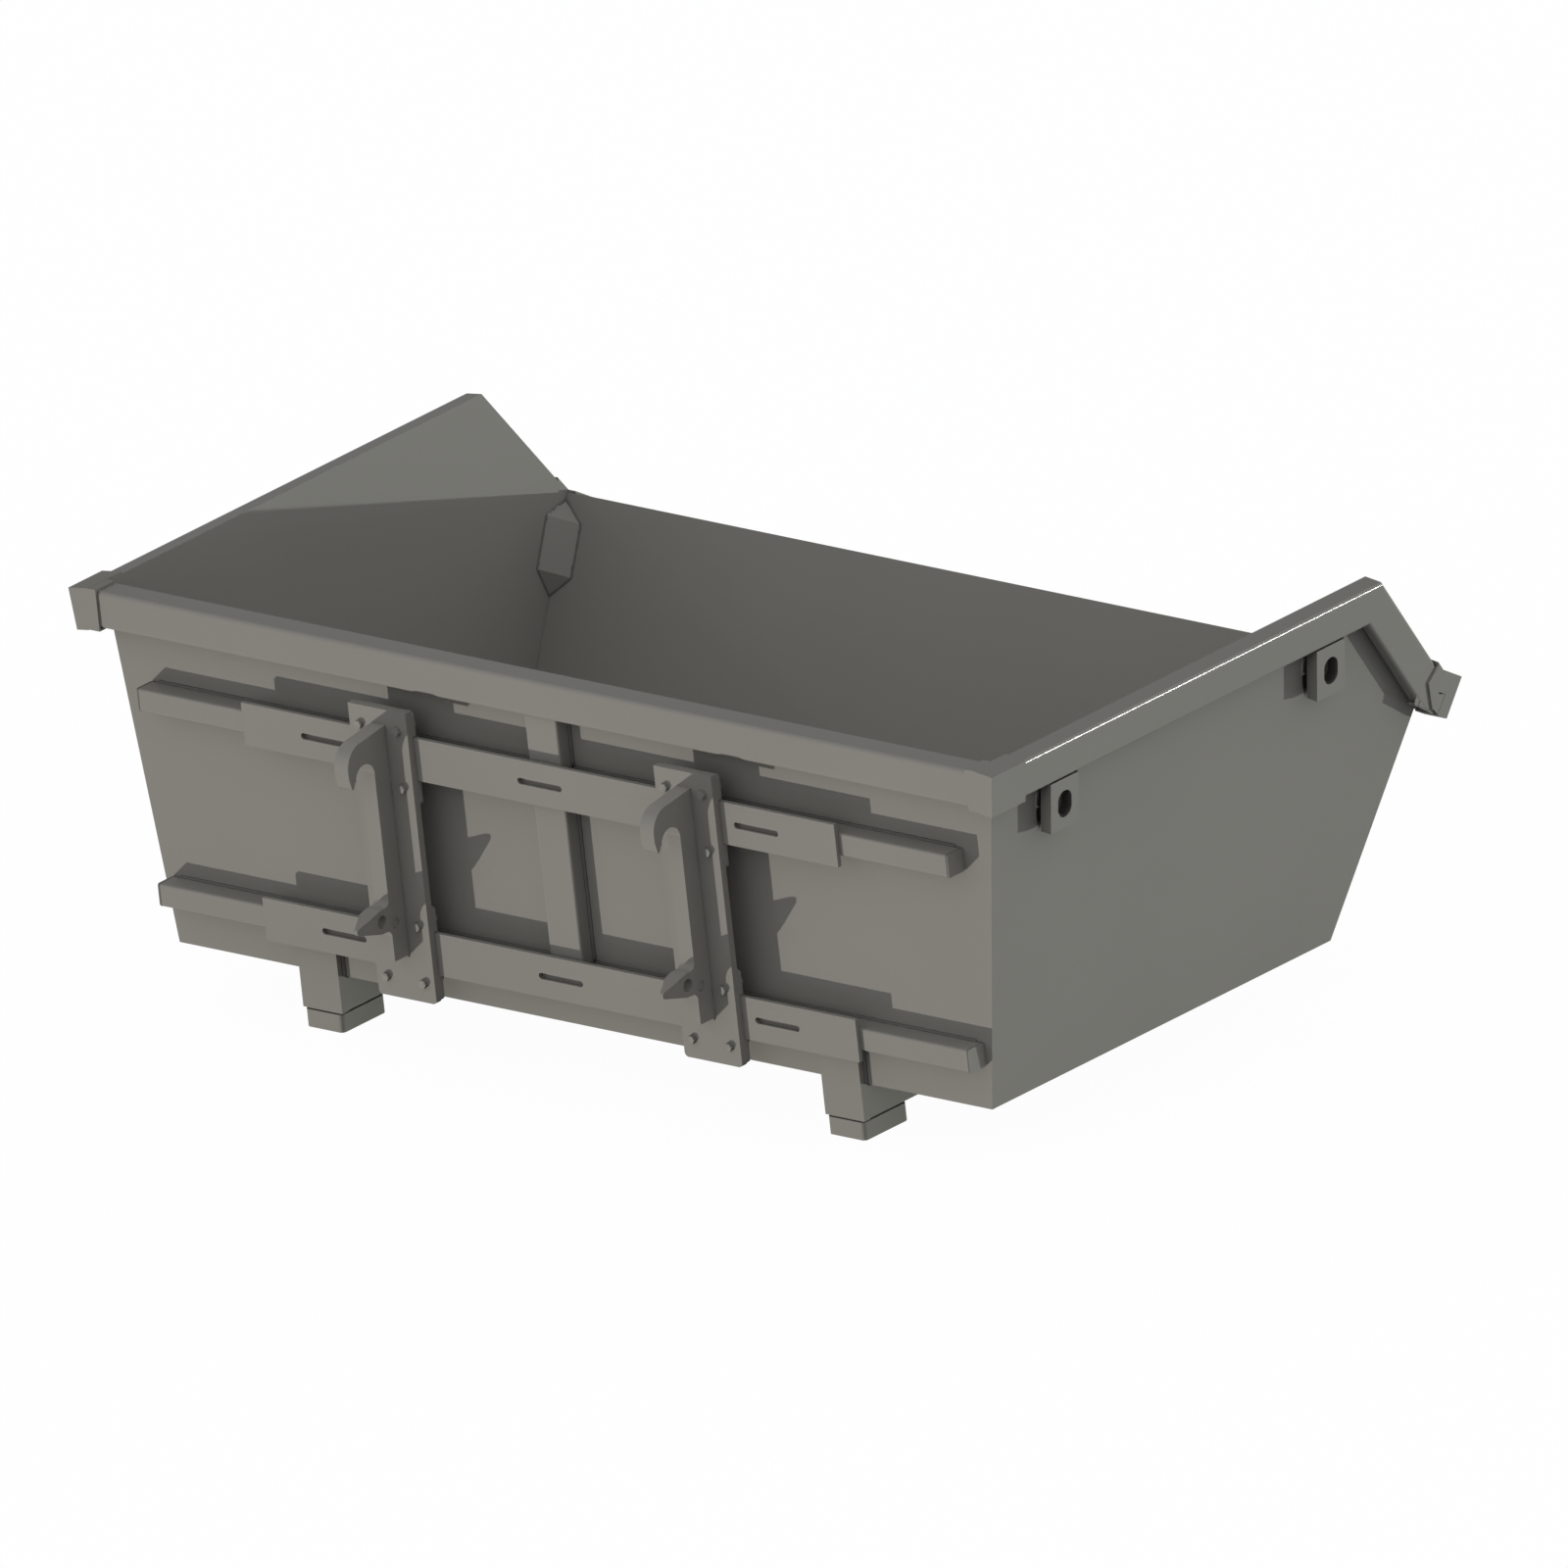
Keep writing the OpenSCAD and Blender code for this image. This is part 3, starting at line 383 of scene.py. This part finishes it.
def bead_rings(start, end, first_normal, second_normal, leg):
    """Rings of points of a rippled fillet bead, in the corner of two faces with these normals."""
    start, end = Vector(start), Vector(end)
    n1, n2 = first_normal.normalized(), second_normal.normalized()
    u = (n2 - n1 * n1.dot(n2)).normalized()
    v = (n1 - n2 * n1.dot(n2)).normalized()
    along = end - start
    count = max(FEWEST_STEPS, round(along.length / PITCH) * 2)
    rings = []
    for k in range(count + 1):
        swell = 1.0 + (CREST if k % 2 else DIP)
        for height, rate, phase in WANDER:
            swell += height * math.sin(k * rate + phase)
        if k in (0, count):
            swell *= END_SWELL
        reach = leg * swell
        centre = start + along * (k / count)
        ring = [centre - (u + v) * leg * ROOT, centre + u * reach]
        for step in ROUND_STEPS:
            turn = step * math.pi / 2
            width = ROUND + BULGE * math.sin(math.pi * step)
            ring.append(centre + (u * math.cos(turn) + v * math.sin(turn)) * reach * width)
        ring.append(centre + v * reach)
        rings.append(ring)
    return rings


def add_beads(name, seams):
    """One piece with a bead on each seam (start, end, two normals and leg)."""
    verts, faces = [], []
    for seam in seams:
        rings = bead_rings(*seam)
        base, size = len(verts), len(rings[0])
        for ring in rings:
            verts.extend(ring)
        for k in range(len(rings) - 1):
            for i in range(size):
                p = base + k * size + i
                q = base + k * size + (i + 1) % size
                faces.append((p, q, q + size, p + size))
        faces.append(tuple(base + i for i in reversed(range(size))))
        faces.append(tuple(base + (len(rings) - 1) * size + i for i in range(size)))
    add_piece(name, verts, faces, weld_paint, smooth=True)


def tube_seams():
    """Seams along each tube on the front wall. Only the lowest one runs on past the posts."""
    seams = []
    for low, high in tubes:
        x0, x1 = low.x + TUBE_END_GAP, high.x - TUBE_END_GAP
        for z, up in ((high.z, Z), (low.z, -Z)):
            spans = [(x0, post_low.x), (post_high.x, x1)]
            if z == tubes[1][0].z:
                spans = [(x0, x1)]
            for s0, s1 in spans:
                seams.append(((s0, face, z), (s1, face, z), -Y, up, LEG["tube"]))
    return seams


def post_seams():
    """Seams of the two posts: down their sides, and round their ends on the tubes."""
    seams = []
    for low, high in posts:
        for side, x in ((-1, low.x), (1, high.x)):
            z0, z1 = low.z + STOP_SHORT, high.z - STOP_SHORT
            seams.append(((x, face, z0), (x, face, z1), -Y, X * side, LEG["post"]))
    for z, up in ((posts[0][0].z, Z), (post_high.z, -Z), (post_low.z, Z)):
        for side, x in ((-1, post_low.x), (1, post_high.x)):
            y0, y1 = face - OFF_WALL, post_low.y + STOP_SHORT
            seams.append(((x, y0, z), (x, y1, z), X * side, up, LEG["post"]))
        x0, x1 = post_low.x + STOP_SHORT, post_high.x - STOP_SHORT
        seams.append(((x0, post_low.y, z), (x1, post_low.y, z), -Y, up, LEG["post"]))
    return seams


def hook_seams():
    """Seam under the foot of each hook, on its base plate."""
    seams = []
    for hand in HANDS:
        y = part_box("base_plate_" + hand)[0].y
        low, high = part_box("hook_" + hand)
        seams.append(((low.x, y, low.z), (high.x, y, low.z), -Y, -Z, LEG["hook"]))
    return seams


def foot_seams():
    """Seams of each leg, on the lower tube and the front wall, and along each runner under the floor."""
    seams = []
    for hand in HANDS:
        low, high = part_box("leg_" + hand)
        seams.append(((low.x, low.y, high.z), (high.x, low.y, high.z), -Y, -Z, LEG["foot"]))
        for side, x in ((-1, low.x), (1, high.x)):
            z1 = high.z - LEG_TOP_GAP
            seams.append(((x, face, floor_low), (x, face, z1), -Y, X * side, LEG["foot"]))
        low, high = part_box("runner_" + hand)
        for side, x in ((-1, low.x), (1, high.x)):
            y0, y1 = low.y + STOP_SHORT, high.y - STOP_SHORT
            seams.append(((x, y0, high.z), (x, y1, high.z), -Z, X * side, LEG["runner"]))
    return seams


def floor_corner(side):
    """Point inside where the floor, the back wall and the end wall on one side meet."""
    rise = floor_top - floor_low
    x = HALF_FLOOR + rise * math.tan(END_LEAN) - SHEET / math.cos(END_LEAN)
    y = face + FLOOR_DEPTH + rise * math.tan(BACK_LEAN) - SHEET / math.cos(BACK_LEAN)
    return Vector((x * side, y, floor_top))


def gusset_seams(gusset, corner, normals):
    """Seams along the edges of a gusset that lie on the walls with these normals through a floor corner."""
    points = [v.co.copy() for v in gusset.data.vertices]
    heart = sum(points, Vector()) / len(points)
    seams = []
    for n in normals:
        lines = set()
        for polygon in gusset.data.polygons:
            for edge in polygon.edge_keys:
                if max(abs((points[i] - corner).dot(n)) for i in edge) < TOUCH:
                    lines.add(tuple(sorted(tuple(round(c, ROUND_TO) for c in points[i]) for i in edge)))
        for ends in sorted(lines):
            a, b = Vector(ends[0]), Vector(ends[1])
            along = (b - a).normalized()
            away = (a + b) / 2 - heart
            away = away - n * away.dot(n) - along * away.dot(along)
            if (b - a).length > EDGE_LENGTH and away.length > EDGE_AWAY:
                seams.append((a, b, n, away, LEG["gusset"]))
    return seams


def body_seams():
    """Seams inside the bucket: round the floor, and round the corner gussets."""
    back_normal = Vector((0, -math.cos(BACK_LEAN), math.sin(BACK_LEAN)))
    left, right = floor_corner(-1), floor_corner(1)
    front = face + SHEET
    seams = [((left.x, front, floor_top), (right.x, front, floor_top), Y, Z, LEG["floor"]),
             (left, right, back_normal, Z, LEG["floor"])]
    for hand, side in HANDS.items():
        side_normal = Vector((-math.cos(END_LEAN) * side, 0, math.sin(END_LEAN)))
        corner = floor_corner(side)
        seams.append(((corner.x, front, corner.z), corner, side_normal, Z, LEG["floor"]))
        seams.extend(gusset_seams(nodes["gusset_" + hand], corner, (side_normal, back_normal)))
    return seams


def add_plug_rings():
    """Dark ring over the seam between each tube's end and its plug."""
    section = ((-RING_HALF, RING_IN), (-RING_HALF, RING_OUT), (RING_HALF, RING_OUT), (RING_HALF, RING_IN))
    verts, faces = [], []
    for low, high in tubes:
        y0, y1 = low.y + TUBE_R, high.y - TUBE_R
        z0, z1 = low.z + TUBE_R, high.z - TUBE_R
        loop = []
        for cy, cz, start in ((y1, z1, 0), (y0, z1, 90), (y0, z0, 180), (y1, z0, 270)):
            for k in range(CORNER_POINTS):
                turn = math.radians(start + k * 90 / (CORNER_POINTS - 1))
                loop.append((cy, cz, math.cos(turn), math.sin(turn)))
        size = len(loop)
        for x in (low.x, high.x):
            base = len(verts)
            for dx, out in section:
                r = TUBE_R + out
                verts.extend((x + dx, cy + c * r, cz + s * r) for cy, cz, c, s in loop)
            for k in range(len(section)):
                p, q = base + k * size, base + (k + 1) % len(section) * size
                for i in range(size):
                    j = (i + 1) % size
                    faces.append((p + i, q + i, q + j, p + j))
    add_piece("weld_plugs", verts, faces, weld_paint)


def add_tip_plates():
    """Flat plates that close the lip rim's open ends, just inside the faces of the tip caps and the rims."""
    verts, faces = [], []
    for side in HANDS.values():
        for outline in (TIP, END):
            base, size = len(verts), len(outline)
            for depth in PLATE_DEPTHS:
                verts.extend(((x - depth) * side, y, z) for x, y, z in outline)
            ring = [base + i for i in range(size)]
            faces.append(ring)
            faces.append([i + size for i in reversed(ring)])
            for i in range(size):
                p, q = ring[i], ring[(i + 1) % size]
                faces.append([q, p, p + size, q + size])
    add_piece("tip_plates", verts, faces, painted("tip_paint", PAINT))


def seen_directly(tree):
    """1 where the camera sees the surface itself, also through clear things."""
    path = tree.nodes.new("ShaderNodeLightPath")
    return math_node(tree, "MAXIMUM", path.outputs["Is Camera Ray"], path.outputs["Is Transmission Ray"])


def plain(tree, kind, colour):
    """Diffuse, emission or background shader of one colour, at full strength."""
    node = tree.nodes.new(kind)
    node.inputs["Color"].default_value = rgba(colour)
    return node.outputs[0]


def make_floor():
    """Pale floor. It shows almost white, keeps a soft shadow, and lets the lamps through from below."""
    r = FLOOR_HALF
    mesh = bpy.data.meshes.new("floor")
    corners = [(x, y, -FLOOR_DROP) for x, y in ((-r, -r), (r, -r), (r, r), (-r, r))]
    mesh.from_pydata(corners, [], [(0, 1, 2, 3)])
    floor = bpy.data.objects.new("floor", mesh)
    scene.collection.objects.link(floor)
    floor.visible_shadow = False
    material = bpy.data.materials.new("floor")
    material.use_nodes = True
    tree = material.node_tree
    tree.nodes.clear()
    pale, glow = plain(tree, "ShaderNodeBsdfDiffuse", WHITE), plain(tree, "ShaderNodeEmission", WHITE)
    shown = mix_shader(tree, FLOOR_GLOW, pale, glow)
    surface = mix_shader(tree, seen_directly(tree), plain(tree, "ShaderNodeBsdfDiffuse", FLOOR_GREY), shown)
    tree.links.new(surface, tree.nodes.new("ShaderNodeOutputMaterial").inputs["Surface"])
    mesh.materials.append(material)


def make_world():
    """White background, and a soft grey sky that is lighter overhead."""
    world = bpy.data.worlds.new("world")
    scene.world = world
    world.use_nodes = True
    tree = world.node_tree
    tree.nodes.clear()
    way = tree.nodes.new("ShaderNodeTexCoord").outputs["Generated"]
    height = math_node(tree, "MULTIPLY_ADD", parts_of(tree, way)["Z"], 0.5, 0.5)
    light = tree.nodes.new("ShaderNodeBackground")
    sky = ramp(tree, height, SKY_HEIGHTS, SKY_LIGHT)
    tree.links.new(mix_rgb(tree, 1.0, sky, rgba(SKY_TINT), blend="MULTIPLY"), light.inputs["Color"])
    mirrored = tree.nodes.new("ShaderNodeLightPath").outputs["Is Glossy Ray"]
    strength = math_node(tree, "MULTIPLY_ADD", mirrored, SKY_MIRROR - 1.0, 1.0)
    tree.links.new(strength, light.inputs["Strength"])
    white = plain(tree, "ShaderNodeBackground", WHITE)
    surface = mix_shader(tree, seen_directly(tree), light.outputs[0], white)
    tree.links.new(surface, tree.nodes.new("ShaderNodeOutputWorld").inputs["Surface"])


def make_lamps():
    """Three suns. The one called gloss lights only what mirrors it."""
    for name, (way, strength, degrees, colour) in LAMPS.items():
        light = bpy.data.lights.new(name, "SUN")
        light.energy = strength
        light.angle = math.radians(degrees)
        light.color = colour
        lamp = bpy.data.objects.new(name, light)
        lamp.rotation_mode = "QUATERNION"
        lamp.rotation_quaternion = way.to_track_quat("-Z", "Y")
        lamp.visible_diffuse = name != "gloss"
        scene.collection.objects.link(lamp)


def make_camera():
    """Parallel view of the photograph."""
    lens = bpy.data.cameras.new("camera")
    lens.type = "ORTHO"
    lens.ortho_scale = FRAME_WIDTH
    lens.clip_start, lens.clip_end = CLIP
    camera = bpy.data.objects.new("camera", lens)
    back = RIGHT.cross(UP).normalized()
    basis = Matrix((RIGHT.normalized(), back.cross(RIGHT).normalized(), back)).transposed()
    camera.matrix_world = Matrix.Translation(CENTRE + back * CAMERA_AWAY) @ basis.to_4x4()
    scene.collection.objects.link(camera)
    scene.camera = camera


dress_nodes()

# Places taken from the frame: the front wall's outer face, the floor's faces, and the tubes and posts
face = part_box("front_wall")[0].y
floor_low, floor_top = (corner.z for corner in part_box("floor_plate"))
tubes = [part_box("tube_upper"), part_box("tube_lower")]
posts = [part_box("post_upper"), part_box("post_lower")]
post_low, post_high = posts[1]

weld_paint = painted("weld_paint", SEAM, peel=5.0, rough=0.45)
add_beads("weld_frame", tube_seams() + post_seams())
add_beads("weld_hooks", hook_seams())
add_beads("weld_feet", foot_seams())
add_beads("weld_body", body_seams())
add_plug_rings()
add_tip_plates()

make_world()
make_floor()
make_lamps()
make_camera()
scene.view_settings.view_transform = "Standard"
